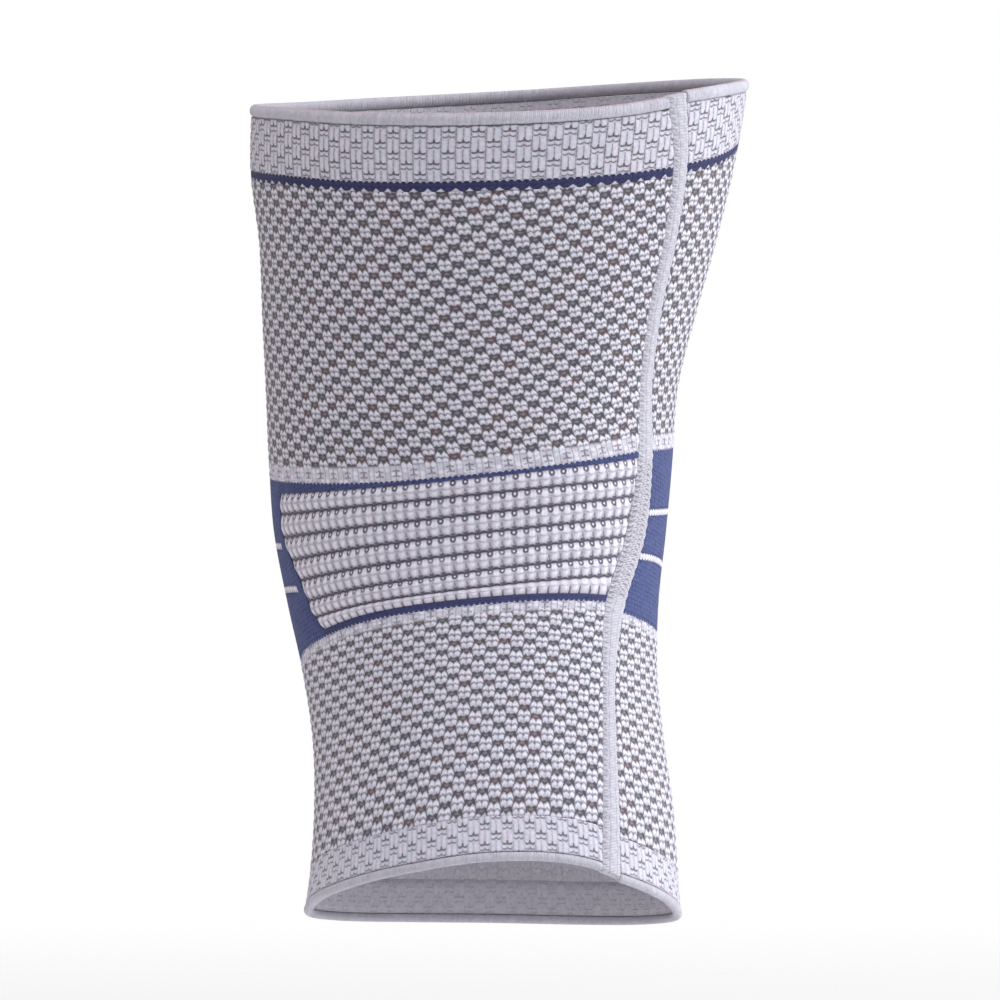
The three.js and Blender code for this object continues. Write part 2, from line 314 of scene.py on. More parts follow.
# A piece of a zone. The attribute "knit" holds its stitch and which points are inside, "place"
# the millimetres to its lower and upper line and the share across.
def knitted(name, sizes, zone, material, nodes):
    loop = wallRows(sizes["rows"], sizes["innerRows"], sizes.get("rim", 1))
    mesh = bpy.data.meshes.new(name)
    form = bmesh.new()
    bmesh.ops.create_grid(
        form, x_segments=sizes["columns"], y_segments=len(loop) - 1, size=1)
    form.to_mesh(mesh)
    form.free()
    grid = fieldOf(mesh, "position")
    across = (grid[:, 0] + 1) / 2
    row = np.rint((grid[:, 1] + 1) / 2 * (len(loop) - 1)).astype(int)
    up, depth = loop[row, 0], loop[row, 1]
    shape = zone.get("shape", flatWall)
    lift, sunk = shape(up, depth, across)
    turn, height = placed(zone, across, lift)
    wale, course = zone["stitch"](turn, height)
    above, below = height - zone["low"](turn), zone["high"](turn) - height
    out = sunk + depth * zone["relief"](wale, course, across)
    setPoints(mesh, offSkin(turn, height, out))
    setField(mesh, "knit", (wale, course, 1 - depth))
    setField(mesh, "place", (above, below, across))
    closed(mesh)
    return finished(name, mesh, material, nodes)


# Materials. A Field is a number that the shader works out at each point from the knit's own
# coordinates, with a math node for each step.

class Field:
    def __init__(self, tree, source):
        self.tree, self.source = tree, source

    def by(self, operation, *others):
        node = self.tree.nodes.new("ShaderNodeMath")
        node.operation = operation
        for slot, value in zip(node.inputs, (self, *others)):
            if isinstance(value, Field):
                self.tree.links.new(value.source, slot)
            else:
                slot.default_value = value
        return Field(self.tree, node.outputs[0])

    def __add__(self, other):
        return self.by("ADD", other)

    def __sub__(self, other):
        return self.by("SUBTRACT", other)

    def __mul__(self, other):
        return self.by("MULTIPLY", other)

    def __truediv__(self, other):
        return self.by("DIVIDE", other)

    def size(self):
        return self.by("ABSOLUTE")

    def toWhole(self):
        return self.by("PINGPONG", 0.5)

    def signed(self):
        return self.by("WRAP", 0.5, -0.5)

    def share(self):
        return self.by("FRACT")

    def most(self, other):
        return self.by("MAXIMUM", other)

    def step(self, low, high):
        node = self.tree.nodes.new("ShaderNodeMapRange")
        node.interpolation_type = "SMOOTHSTEP"
        self.tree.links.new(self.source, node.inputs["Value"])
        node.inputs["From Min"].default_value = low
        node.inputs["From Max"].default_value = high
        return Field(self.tree, node.outputs[0])


def flipped(field):
    return field * -1 + 1


def ovalReach(x, y, wide, tall):
    return ((x / wide).by("POWER", 2) + (y / tall).by("POWER", 2)).by("SQRT")


def spot(x, y, wide, tall, soft=0.3):
    return flipped(ovalReach(x, y, wide, tall).step(1 - soft, 1 + soft))


def stroke(far, half, soft=0.6):
    return flipped(far.size().step(half * (1 - soft), half * (1 + soft)))


yarnLook = {
    "roughness": 0.9, "specular": 0.2, "sheenRoughness": 0.5,
    "grainScale": 900, "grainAmount": 0.5, "fuzzScale": 1400, "fuzzAmount": 0.3,
    "bumpStrength": 0.7,
}


# One knit's material: its color is painted over step by step, then grain and relief are added.
class Yarn:
    def __init__(self, name, color, sheen=0.15):
        self.material = bpy.data.materials.new(name)
        self.material.use_nodes = True
        self.tree = self.material.node_tree
        self.shader = self.tree.nodes["Principled BSDF"]
        self.shader.inputs["Roughness"].default_value = yarnLook["roughness"]
        self.shader.inputs["Specular IOR Level"].default_value = yarnLook["specular"]
        self.shader.inputs["Sheen Weight"].default_value = sheen
        self.shader.inputs["Sheen Roughness"].default_value = yarnLook["sheenRoughness"]
        self.color = self.constant(color)
        self.wale, self.course, self.inside = self.split("knit")
        self.above, self.below, self.across = self.split("place")

    def split(self, name):
        field = self.tree.nodes.new("ShaderNodeAttribute")
        field.attribute_name = name
        parts = self.tree.nodes.new("ShaderNodeSeparateXYZ")
        self.tree.links.new(field.outputs["Vector"], parts.inputs[0])
        return [Field(self.tree, out) for out in parts.outputs]

    def constant(self, color):
        node = self.tree.nodes.new("ShaderNodeRGB")
        node.outputs[0].default_value = (*color, 1)
        return node.outputs[0]

    def blended(self, share, color, other):
        node = self.tree.nodes.new("ShaderNodeMix")
        node.data_type = "RGBA"
        self.tree.links.new(share.source, node.inputs["Factor"])
        for slot, value in zip(node.inputs[6:8], (color, other)):
            if isinstance(value, tuple):
                slot.default_value = (*value, 1)
            else:
                self.tree.links.new(value, slot)
        return node.outputs[2]

    def paint(self, mask, color):
        self.color = self.blended(mask, self.color, color)

    def noise(self, scale, detail=2.0):
        place = self.tree.nodes.new("ShaderNodeTexCoord")
        node = self.tree.nodes.new("ShaderNodeTexNoise")
        node.inputs["Scale"].default_value = scale
        node.inputs["Detail"].default_value = detail
        self.tree.links.new(place.outputs["Object"], node.inputs["Vector"])
        return Field(self.tree, node.outputs["Fac"])

    def wobble(self, scale, amount):
        return (self.noise(scale) - 0.5) * amount

    def chance(self, x, y):
        pair = self.tree.nodes.new("ShaderNodeCombineXYZ")
        self.tree.links.new(x.by("FLOOR").source, pair.inputs[0])
        self.tree.links.new(y.by("FLOOR").source, pair.inputs[1])
        node = self.tree.nodes.new("ShaderNodeTexWhiteNoise")
        self.tree.links.new(pair.outputs[0], node.inputs["Vector"])
        return Field(self.tree, node.outputs["Value"])

    def finish(self, relief, depth):
        shade = self.tree.nodes.new("ShaderNodeMix")
        shade.data_type = "RGBA"
        shade.blend_type = "MULTIPLY"
        shade.inputs["Factor"].default_value = 1
        amount = yarnLook["grainAmount"]
        grain = self.noise(yarnLook["grainScale"], 3) * amount + (1 - amount / 2)
        tone = self.tree.nodes.new("ShaderNodeCombineColor")
        for slot in tone.inputs:
            self.tree.links.new(grain.source, slot)
        self.tree.links.new(self.color, shade.inputs[6])
        self.tree.links.new(tone.outputs[0], shade.inputs[7])
        self.tree.links.new(shade.outputs[2], self.shader.inputs["Base Color"])
        fuzzy = relief + self.noise(yarnLook["fuzzScale"]) * yarnLook["fuzzAmount"]
        bump = self.tree.nodes.new("ShaderNodeBump")
        bump.inputs["Strength"].default_value = yarnLook["bumpStrength"]
        bump.inputs["Distance"].default_value = depth / 1000
        self.tree.links.new(fuzzy.source, bump.inputs["Height"])
        self.tree.links.new(bump.outputs[0], self.shader.inputs["Normal"])
        return self.material


tones = {
    "light": (0.53, 0.52, 0.60), "pink": (0.57, 0.51, 0.58), "cool": (0.49, 0.53, 0.60),
    # The first tone on the next line is a painted highlight for raised loops and tongues.
    "highlight": (0.74, 0.73, 0.81), "pale": (0.48, 0.47, 0.53), "mid": (0.26, 0.25, 0.29),
    "dark": (0.085, 0.075, 0.09), "brown": (0.12, 0.08, 0.075), "slate": (0.065, 0.08, 0.09),
    "grey": (0.43, 0.425, 0.49), "pinkGrey": (0.46, 0.42, 0.48),
    # The last tone on the next line paints the ribbed panel's dark loops and ticks, and also its
    # painted shade.
    "pinkWhite": (0.66, 0.62, 0.69), "rib": (0.07, 0.062, 0.095),
    "blue": (0.064, 0.084, 0.21), "shadeBlue": (0.028, 0.031, 0.085),
    "navy": (0.036, 0.038, 0.10), "shadeNavy": (0.02, 0.021, 0.06),
    "white": (0.66, 0.64, 0.70), "rust": (0.42, 0.22, 0.20), "reverse": (0.44, 0.42, 0.47),
}


def lightYarn(yarn):
    tinted = yarn.blended(yarn.noise(430).step(0.4, 0.64) * 0.6, tones["light"], tones["pink"])
    return yarn.blended(yarn.noise(360).step(0.44, 0.7) * 0.6, tinted, tones["cool"])


def paintInside(yarn, share=1):
    yarn.paint(yarn.inside.step(0.3, 0.7) * share, tones["reverse"])


# Small pointed loops of the next yarn that bite into the edge of a stripe.
def teeth(yarn, edge, rate, reach):
    x = (yarn.wale * rate + yarn.wobble(300, 0.3)).signed()
    ragged = edge + yarn.wobble(900, 0.5)
    return flipped((ragged + x.size() * (reach * 3.4) - reach).step(-0.2, 0.2))


# The small dark marks in the light border of a tuck knit.
def tuckMarks(wale, up):
    x = (wale / 0.75).signed()
    w = (x * 3 + 0.5).signed()
    sag = w * w * -1.4 + 0.35
    arcs = stroke((up + sag).size() - 0.75, 0.24, 0.8) * stroke(x, 0.22, 0.2)
    return arcs.most(spot(x, up + 0.2, 0.05, 0.9, 0.6))


# One light motif of two wales by two courses, and a painted highlight on the tops of its loops.
def tuckMotif(wale, course, phase, fill):
    a, b = (wale + phase).signed(), (course + phase).signed()
    peak = (wale * 4).toWhole() * 2
    motif = flipped((a.size() + b * b * 0.5).step(0.235, 0.305))
    motif = motif * flipped((b - peak * 0.17).step(fill - 0.2, fill - 0.04))
    motif = motif * (b - peak * 0.09).step(-fill - 0.1, -fill + 0.03)
    cut = stroke(b - peak * 0.13 + 0.07, 0.055, 0.9) * 0.6
    motif = motif * flipped(cut.most(spot(a, b + 0.03, 0.05, 0.09, 0.6) * 0.7))
    between = spot(a, (course + (phase + 0.5)).signed(), 0.08, 0.06, 0.8) * 0.3
    loop = a.size() - 0.125
    # Painted highlight spots on the upper and lower loop tops.
    upper = spot(loop, b - 0.17, 0.1, 0.11, 0.7)
    lower = spot(loop, b + 0.13, 0.1, 0.08, 0.7) * 0.8
    return motif.most(between), upper.most(lower)


# The light motifs stand as on a chessboard, with dark tucks between them.
def tuckKnit(name, border, fill):
    yarn = Yarn(name, tones["dark"])
    wale = yarn.wale + yarn.wobble(160, 0.05) + yarn.wobble(1100, 0.06)
    course = yarn.course + yarn.wobble(230, 0.08) + yarn.wobble(1300, 0.16)
    hue = yarn.chance(wale * 2 + 0.5, course * 2 + 0.5)
    yarn.paint(hue.step(0.3, 0.6) * 0.5, tones["brown"])
    yarn.paint(hue.step(0.66, 0.9) * 0.7, tones["slate"])
    light, highlight = tuckMotif(wale, course, 0, fill)
    nextLight, nextHighlight = tuckMotif(wale, course, 0.5, fill)
    # Thin lines of painted shade between the wales darken the light yarn.
    light = light.most(nextLight) * flipped(stroke((wale * 4).toWhole(), 0.12, 0.9) * 0.2)
    light = border(yarn, wale, light)
    yarn.paint(light * 0.92, lightYarn(yarn))
    # Painted highlight over the loop tops of the light yarn.
    yarn.paint(highlight.most(nextHighlight) * light * 0.6, tones["highlight"])
    paintInside(yarn)
    return yarn.finish(light, 0.5)


def plainBorder(wale, edge, start, stop):
    # The plain border, with thin lines of painted shade between its wales.
    return flipped(edge.step(start, stop)) * flipped(stroke((wale * 4).toWhole(), 0.1, 0.9) * 0.3)


def thighBorder(yarn, wale, light):
    plain = plainBorder(wale, yarn.above, 3.9, 5.1)
    return light.most(plain) * flipped(tuckMarks(wale, yarn.above - 2.4) * 0.62)


def calfBorder(yarn, wale, light):
    plain = plainBorder(wale, yarn.below, 2.0, 3.2)
    return light.most(plain) * flipped(tuckMarks(wale, yarn.below - 1.4) * 0.5)


# Pairs of long stitches that end in two short dark arcs, each pair half a course off the next.
def brickKnit(name, strength, gaps):
    yarn = Yarn(name, tones["light"])
    wale = yarn.wale + yarn.wobble(150, 0.05) + yarn.wobble(1100, 0.03)
    course = yarn.course + yarn.wobble(210, 0.08) + yarn.wobble(1300, 0.06)
    down = ((wale * 2).by("FLOOR") * 0.5 - course).share()
    x = (wale * 2).share() - 0.5
    w = (wale * 4 + 0.5).signed()
    sag = w * w * -0.3 + 0.075
    inPair = stroke(x, 0.43, 0.12)
    arc = stroke(down - sag - 0.6, 0.045, 0.7) * inPair
    lowArc = stroke(down - sag - 0.85, 0.035, 0.7) * inPair * 0.8
    dot = spot(x, down - 0.59, 0.08, 0.11)
    pleat = (yarn.noise(24).step(0.48, 0.62) * 0.3 + 0.6) * gaps
    between = stroke((wale * 2).toWhole(), 0.05, 0.7) * pleat
    within = stroke(x, 0.045, 0.7) * flipped(down.step(0.58, 0.62)) * gaps * 0.55
    beads = (course * 31).by("COSINE") * 0.25 + 0.75
    dark = arc.most(dot).most(lowArc).most(between.most(within) * beads)
    yarn.color = lightYarn(yarn)
    yarn.paint(flipped(stroke(w, 0.3, 0.9)) * strength * 0.4, tones["mid"])
    yarn.paint(dark * strength, tones["dark"])
    paintInside(yarn)
    return yarn.finish(flipped(dark), 0.5)


# Plain small stitches: a slanted mark under each loop, and a fine line between the wales.
def jersey(yarn, shadeColor, strength, rate=4.0, rowsPer=4.5):
    w = (yarn.wale * rate).signed()
    v = (yarn.course * rowsPer + w.size() * 0.9 + yarn.wobble(500, 0.5)).toWhole()
    mark = flipped(v.step(0.05, 0.24)).most(stroke(w.size() - 0.5, 0.08))
    mark = mark * (yarn.chance(yarn.wale * rate, yarn.course * rowsPer) * 0.7 + 0.3)
    yarn.paint(mark * strength, shadeColor)
    return mark


# The band's two thin edges over and under the ribbed panel are darker than the rest.
def bluePlain():
    yarn = Yarn("bluePlain", tones["blue"], 0.06)
    mark = jersey(yarn, tones["shadeBlue"], 0.85)
    bite = teeth(yarn, yarn.below, 4, 0.4).most(teeth(yarn, yarn.above, 4, 0.4))
    atWindow = yarn.across.step(0.72, 0.74)
    darker = flipped(yarn.above.step(3, 6)) * 0.4 + 0.35
    yarn.paint(atWindow * darker, tones["navy"])
    yarn.paint(bite * 0.9, tones["light"])
    paintInside(yarn, 0.4)
    return yarn.finish(flipped(mark), 0.3)


def navyPlain():
    yarn = Yarn("navyPlain", tones["navy"], 0.04)
    mark = jersey(yarn, tones["shadeNavy"], 0.7)
    bite = teeth(yarn, yarn.below, 4, 0.4).most(teeth(yarn, yarn.above, 2, 0.9))
    yarn.paint(bite, tones["light"])
    paintInside(yarn, 0.4)
    return yarn.finish(flipped(mark), 0.3)


def whitePlain():
    yarn = Yarn("whitePlain", tones["white"])
    mark = jersey(yarn, tones["mid"], 0.35)
    bite = teeth(yarn, yarn.below, 4, 0.7).most(teeth(yarn, yarn.above, 4, 0.7))
    yarn.paint(bite, tones["blue"])
    return yarn.finish(flipped(mark), 0.3)


def hemPlain():
    yarn = Yarn("hemPlain", tones["pale"])
    mark = jersey(yarn, tones["mid"], 0.3, 8.0, 0.0)
    edge = flipped(yarn.below.step(0.1, 0.5)) * yarn.noise(30).step(0.42, 0.58)
    yarn.paint(edge * 0.4, tones["rust"])
    yarn.paint(yarn.inside.step(0.4, 0.8), tones["reverse"])
    return yarn.finish(flipped(mark), 0.3)


# The seam's own stitches: a slanted row at its left edge, and beside the ribs a second row and
# dark specks.
def seamPlain():
    yarn = Yarn("seamPlain", tones["pale"])
    x = yarn.across + yarn.wobble(260, 0.25)
    slant = (yarn.course * 4 + x * 1.3 + yarn.wobble(300, 0.8)).toWhole()
    ticks = flipped(slant.step(0.08, 0.22))
    besideRibs = yarn.course.step(-2.9, -2.4) * flipped(yarn.course.step(4.1, 4.5))
    left = stroke(x - 0.12, 0.1) * (besideRibs * 0.25 + 0.45)
    right = stroke(x - 0.62, 0.12) * besideRibs * 0.65
    lines = stroke(x - 0.36, 0.035).most(stroke(x - 0.74, 0.035)) * 0.3
    rung = (yarn.course * 7 - x + yarn.wobble(700, 0.7)).toWhole()
    fine = flipped(rung.step(0.1, 0.3)) * 0.22
    row = yarn.course * 8 - x * 1.5 + yarn.wobble(400, 0.5)
    speck = stroke((x * 5 + row.by("ROUND") * 0.5).signed(), 0.2, 0.7)
    speck = speck * stroke(row.signed(), 0.2, 0.7) * besideRibs * 0.7
    dark = (ticks * left.most(right)).most(lines).most(fine).most(speck)
    yarn.paint(dark, tones["dark"])
    paintInside(yarn)
    return yarn.finish(flipped(dark), 0.4)


# Rows of loops that hang from each groove and a tick below every loop, with painted shade along the
# grooves and across the middle of each row, and painted highlights on the tongues between the loops
# and in each loop. The lowest row has upright ticks alone.
def ribbedKnit():
    yarn = Yarn("ribbedKnit", tones["light"])
    wale = yarn.wale + yarn.wobble(170, 0.08) + yarn.wobble(1200, 0.03)
    course = yarn.course + yarn.wobble(260, 0.06) + yarn.wobble(1100, 0.05)
    down = flipped(course.share())
    w = (wale * 2).signed()
    dip = (wale * (4 * math.pi)).by("COSINE") * 0.035
    loopRow = course.step(0.97, 1.03)
    inside = course.step(0.2, 0.5) * flipped(course.step(6.5, 6.8))
    # Painted shade along each groove between the ribs.
    grooveShade = stroke((course + dip).toWhole(), 0.065, 0.7) * inside
    ring = ovalReach(w, down - 0.15, 0.18, 0.12)
    hook = stroke(ring - 1, 0.44, 0.9) * flipped(down.step(0.36, 0.46)) * loopRow
    hook = hook * (yarn.noise(260).step(0.3, 0.6) * 0.35 + 0.65)
    slanted = w - (down - 0.7) * 0.25 - yarn.wobble(400, 0.14)
    fading = down.step(0.66, 0.85) * 0.4 + 0.45
    tick = stroke(slanted, 0.08, 0.8) * down.step(0.38, 0.6) * fading
    foot = spot(slanted, down - 0.92, 0.24, 0.11, 0.6) * inside * 0.9
    # A line of painted shade across the middle of each row, between its raised tongues.
    side = stroke(down - 0.47 + dip, 0.04, 0.9) * 0.25
    dark = grooveShade.most(hook).most(tick).most(side).most(foot)
    dark = dark * flipped(spot(w, down - 0.79, 0.06, 0.05))
    lowTick = stroke(w, 0.07, 0.7) * down.step(0.4, 0.6) * 0.8
    dark = dark.most(lowTick * flipped(loopRow))
    tongue = w.size() - 0.42 - (down - 0.6) * 0.1 + yarn.wobble(500, 0.14)
    # Painted highlights on the raised tongues and in the middle of each loop.
    highlight = spot(tongue, down - 0.26, 0.15, 0.16, 0.9) * 0.8
    highlight = highlight.most(spot(tongue, down - 0.66, 0.17, 0.17, 0.9) * 0.7)
    highlight = highlight.most(spot(w, down - 0.15, 0.07, 0.06, 0.6) * loopRow)
    patches = yarn.noise(430).step(0.35, 0.65)
    yarn.color = yarn.blended(patches, tones["grey"], tones["pinkGrey"])
    yarn.paint(highlight, tones["highlight"])
    yarn.paint(flipped(loopRow) * 0.25, tones["pinkWhite"])
    yarn.paint(dark * 0.95, tones["rib"])
    paintInside(yarn)
    return yarn.finish(flipped(dark), 0.5)


materials = {
    "tuckThigh": tuckKnit("tuckThigh", thighBorder, 0.31),
    "tuckCalf": tuckKnit("tuckCalf", calfBorder, 0.36),
    "brick": brickKnit("brickKnit", 0.9, 1), "brickLow": brickKnit("brickLow", 0.8, 0.4),
    "blue": bluePlain(), "navy": navyPlain(), "white": whitePlain(),
    "hem": hemPlain(), "seam": seamPlain(), "ribs": ribbedKnit(),
}
print("materials made")

# Reliefs: how far the outer face of a knit stands out at a stitch, in millimetres.

reliefDepth = {"tuck": 0.22, "brick": 0.25, "plain": 0.06}


def wave(value):
    return np.cos(2 * np.pi * value)


def tuckRelief(wale, course, across):
    return reliefDepth["tuck"] * np.tanh(2 * wave(wale) * wave(course))


def brickRelief(wale, course, across):
    down = np.mod(np.floor(wale * 2) * 0.5 - course, 1)
    return reliefDepth["brick"] * (np.sin(np.pi * np.clip(down / 0.7, 0, 1)) - 0.4)


def plainRelief(wale, course, across):
    return reliefDepth["plain"] * wave(wale * 4)


def welt(thickness):
    def shape(up, depth, across):
        q, p = 2 * up - 1, 2 * depth - 1
        lift = (q * np.sqrt(1 - p * p / 2) + 1) / 2
        return lift, p * np.sqrt(1 - q * q / 2) * thickness / 2 - leg["wall"] / 2
    return shape


# A zone that goes all the way round, from one side of the seam to the other.
def around(low, high, **options):
    joint = leg["joint"]
    return {"start": startAtSeam, "stop": endAtSeam, "low": shifted(low, joint),
            "high": shifted(high, -joint), **options}


# The thigh's pieces. Columns go round the sleeve, rows up its outer face, innerRows down its inner.
hem, stripe, end = lineOf["hem"], lineOf["stripe"], lineOf["end"]

thighHemSizes = {
    "height": 3.8, "thickness": 3.2, "columns": 700, "rows": 8, "innerRows": 6, "rim": 3,
}
underThighHem = shifted(hem, -thighHemSizes["height"])
thighHem = knitted(
    "thighHem", thighHemSizes,
    around(underThighHem, hem, stitch=plainStitch(hem), relief=plainRelief,
           shape=welt(thighHemSizes["thickness"])),
    materials["hem"], ["thigh_hem"])

thighCuffSizes = {"columns": 700, "rows": 30, "innerRows": 4}
thighCuff = knitted(
    "thighCuff", thighCuffSizes,
    around(stripe, underThighHem, stitch=cuffStitch, relief=brickRelief),
    materials["brick"], ["thigh_cuff"])

thighStripeSizes = {"height": 3, "columns": 500, "rows": 4, "innerRows": 2}
underStripe = shifted(stripe, -thighStripeSizes["height"])
thighStripe = knitted(
    "thighStripe", thighStripeSizes,
    around(underStripe, stripe, stitch=plainStitch(stripe), relief=plainRelief),
    materials["navy"], ["thigh_stripe"])

thighPanelSizes = {"columns": 700, "rows": 124, "innerRows": 6}
thighPanel = knitted(
    "thighPanel", thighPanelSizes,
    around(lineOf["bandTop"], underStripe, stitch=thighStitch, relief=tuckRelief),
    materials["tuckThigh"], ["thigh_panel"])
print("thigh knitted")

# The blue band. Its window at the back holds the ribbed panel, and two slots hold the white lines.
# Its rows and columns are counts for each strip, upwards and from the seam round to the seam.
bandSizes = {
    "topEdge": 3.4, "lowEdge": 2.1, "leftEdge": 5, "perDegree": 1.04, "slotHeight": 2.1,
    "rows": [10, 3, 12, 3, 16], "columns": [300, 6, 110], "placings": 10,
}
windowLow = shifted(lineOf["bandLow"], bandSizes["lowEdge"])


def windowTop(turn):
    return lineOf["bandTop"](turn) - bandSizes["topEdge"] * edgeShare(turn)


def borderAt(height):
    return panelEdgeAt(height) - bandSizes["leftEdge"] / bandSizes["perDegree"]


# The ribs' lines are shares of the panel's height from its low edge: at its left edge, a little
# right of its middle and at the seam.
ribSizes = {
    "left": [1, 0.854, 0.702, 0.54, 0.391, 0.237, 0.109, 0],
    "middle": [1, 0.861, 0.696, 0.533, 0.374, 0.217, 0.083, 0],
    "right": [1, 0.858, 0.728, 0.576, 0.434, 0.292, 0.147, 0],
    "middleAt": 0.55, "crest": 1.3, "sink": 0.4, "taper": 0.08, "crestAtEnds": 0.25,
    "tongue": 0.2, "columns": 330, "rows": 160, "innerRows": 8,
}


def ribCourse(across, up):
    at = ribSizes["middleAt"]
    parts = {
        "left": (across - at) * (across - 1) / at,
        "middle": across * (across - 1) / (at * (at - 1)),
        "right": across * (across - at) / (1 - at),
    }
    lines = sum(np.outer(ribSizes[name], part) for name, part in parts.items())
    return sum(np.clip((up - low) / (high - low), 0, 1) for high, low in zip(lines, lines[1:]))


def ribbedWall(up, depth, across):
    taper = ribSizes["taper"]
    ends = np.clip(across / taper, 0, 1) * np.clip((1 - across) / taper, 0, 1)
    crest = ribSizes["crest"] * np.abs(np.sin(np.pi * ribCourse(across, up)))
    crest = crest * mix(ribSizes["crestAtEnds"], 1, np.sqrt(ends))
    return up, mix(-leg["wall"], crest - ribSizes["sink"], depth)


def tongueRelief(wale, course, across):
    down = 1 - np.mod(course, 1)
    tongue = np.clip((down - 0.3) / 0.25, 0, 1) * np.sin(np.pi * down)
    return -ribSizes["tongue"] * wave(wale * 2) * tongue


def ribStitch(turn, height):
    start = panelEdgeAt(height)
    across = (turn - start) / (endAtSeam(height) - start)
    up = (height - windowLow(turn)) / (windowTop(turn) - windowLow(turn))
    return thighWales(turn), ribCourse(across, up)


poplitealPanel = knitted(
    "poplitealPanel", ribSizes,
    {"start": lambda height: panelEdgeAt(height) + leg["joint"], "stop": endAtSeam,
     "low": windowLow, "high": windowTop, "shape": ribbedWall, "stitch": ribStitch,
     "relief": tongueRelief},
    materials["ribs"], ["popliteal_panel"])

whiteLineSizes = {"columns": 320, "rows": 3, "innerRows": 2}


def whiteLine(name, middle, node):
    half = bandSizes["slotHeight"] / 2 - leg["joint"]
    zone = {"start": startAtSeam, "stop": borderAt, "low": shifted(middle, -half),
            "high": shifted(middle, half), "stitch": plainStitch(middle), "relief": plainRelief}
    return knitted(name, whiteLineSizes, zone, materials["white"], [node])


whiteUpper = whiteLine("whiteUpper", lineOf["whiteUpper"], "knee_stripe_upper")
whiteLower = whiteLine("whiteLower", lineOf["whiteLower"], "knee_stripe_lower")


# The band is one grid of faces with its window and slots left out.
def bandGrid(rowEnds, columnEnds):
    mesh = bpy.data.meshes.new("kneeBand")
    form = bmesh.new()
    bmesh.ops.create_grid(
        form, x_segments=sum(bandSizes["columns"]), y_segments=sum(bandSizes["rows"]), size=1)
    out = []
    for face in form.faces:
        middle = face.calc_center_median()
        x, y = (middle.x + 1) / 2 * columnEnds[-1], (middle.y + 1) / 2 * rowEnds[-1]
        strip = np.searchsorted(rowEnds, y) - 1
        inSlot = x < columnEnds[1] and strip in (1, 3)
        inWindow = x > columnEnds[2] and strip in (1, 2, 3)
        if inSlot or inWindow:
            out.append(face)
    bmesh.ops.delete(form, geom=out, context="FACES")
    form.to_mesh(mesh)
    form.free()
    return mesh


# The lines that bound the band's strips, upwards: round the front, and at the window.
def bandLines():
    half = bandSizes["slotHeight"] / 2
    low, high = lineOf["bandLow"], lineOf["bandTop"]
    upper, lower = lineOf["whiteUpper"], lineOf["whiteLower"]
    front = [low, shifted(lower, -half), shifted(lower, half),
             shifted(upper, -half), shifted(upper, half), high]
    window = [(lambda turn, k=k: mix(windowLow(turn), windowTop(turn), k / 3)) for k in range(4)]
    return front, [low, *window, high]


def bandPlaces(x, y, rowEnds, columnEnds):
    rows, columns = np.diff(rowEnds), np.diff(columnEnds)
    strip = np.clip(np.searchsorted(rowEnds, y, "right") - 1, 0, len(rows) - 1)
    part = (y - rowEnds[strip]) / rows[strip]
    toWindow = np.clip((x - columnEnds[1]) / columns[1], 0, 1)
    turn, height = np.full_like(x, 180.0), np.zeros_like(x)
    for _ in range(bandSizes["placings"]):
        heights = []
        for lines in bandLines():
            values = [line(turn) for line in lines]
            lower, upper = np.choose(strip, values[:-1]), np.choose(strip, values[1:])
            heights.append(mix(lower, upper, part))
        height = mix(heights[0], heights[1], toWindow)
        border, edge = borderAt(height), panelEdgeAt(height)
        inFront = mix(startAtSeam(height), border, x / columns[0])
        inBorder = mix(border, edge, toWindow)
        atWindow = mix(edge, endAtSeam(height), (x - columnEnds[2]) / columns[2])
        besideFront = np.where(x <= columnEnds[2], inBorder, atWindow)
        turn = np.where(x <= columnEnds[1], inFront, besideFront)
    return turn, height


def markInside(mesh):
    site, stitch = fieldOf(mesh, "site"), fieldOf(mesh, "knit")
    outer = skin(site[:, 0], site[:, 1])
    far = np.linalg.norm(fieldOf(mesh, "position") * 1000 - outer, axis=1)
    setField(mesh, "knit", (stitch[:, 0], stitch[:, 1], (far > leg["wall"] / 2).astype(float)))


def makeKneeBand():
    rowEnds, columnEnds = (np.cumsum([0, *bandSizes[name]]) for name in ("rows", "columns"))
    low, high = lineOf["bandLow"], lineOf["bandTop"]
    mesh = bandGrid(rowEnds, columnEnds)
    grid = fieldOf(mesh, "position")
    x = (grid[:, 0] + 1) / 2 * columnEnds[-1]
    y = (grid[:, 1] + 1) / 2 * rowEnds[-1]
    turn, height = bandPlaces(x, y, rowEnds, columnEnds)
    wale, course = plainStitch(low)(turn, height)
    setPoints(mesh, offSkin(turn, height, plainRelief(wale, course, 0)))
    setField(mesh, "knit", (wale, course, 0 * wale))
    setField(mesh, "place", (height - low(turn), high(turn) - height, x / columnEnds[-1]))
    setField(mesh, "site", (turn, height, 0 * turn))
    form = bmesh.new()
    form.from_mesh(mesh)
    bmesh.ops.solidify(form, geom=form.faces[:], thickness=leg["wall"] / 1000)
    bmesh.ops.recalc_face_normals(form, faces=form.faces)
    form.to_mesh(mesh)
    form.free()
    markInside(mesh)
    return finished("kneeBand", mesh, materials["blue"], ["knee_band"])


kneeBand = makeKneeBand()
print("knee knitted")

# The calf's pieces.
calfHemSizes = {
    "height": 2.6, "thickness": 2.8, "columns": 600, "rows": 8, "innerRows": 6, "rim": 3,
}
calfCuffSizes = {"height": 10.2, "columns": 600, "rows": 22, "innerRows": 4}
calfPanelSizes = {"columns": 620, "rows": 110, "innerRows": 6}
aboveCalfHem = shifted(end, calfHemSizes["height"])
aboveCalfCuff = shifted(end, calfHemSizes["height"] + calfCuffSizes["height"])

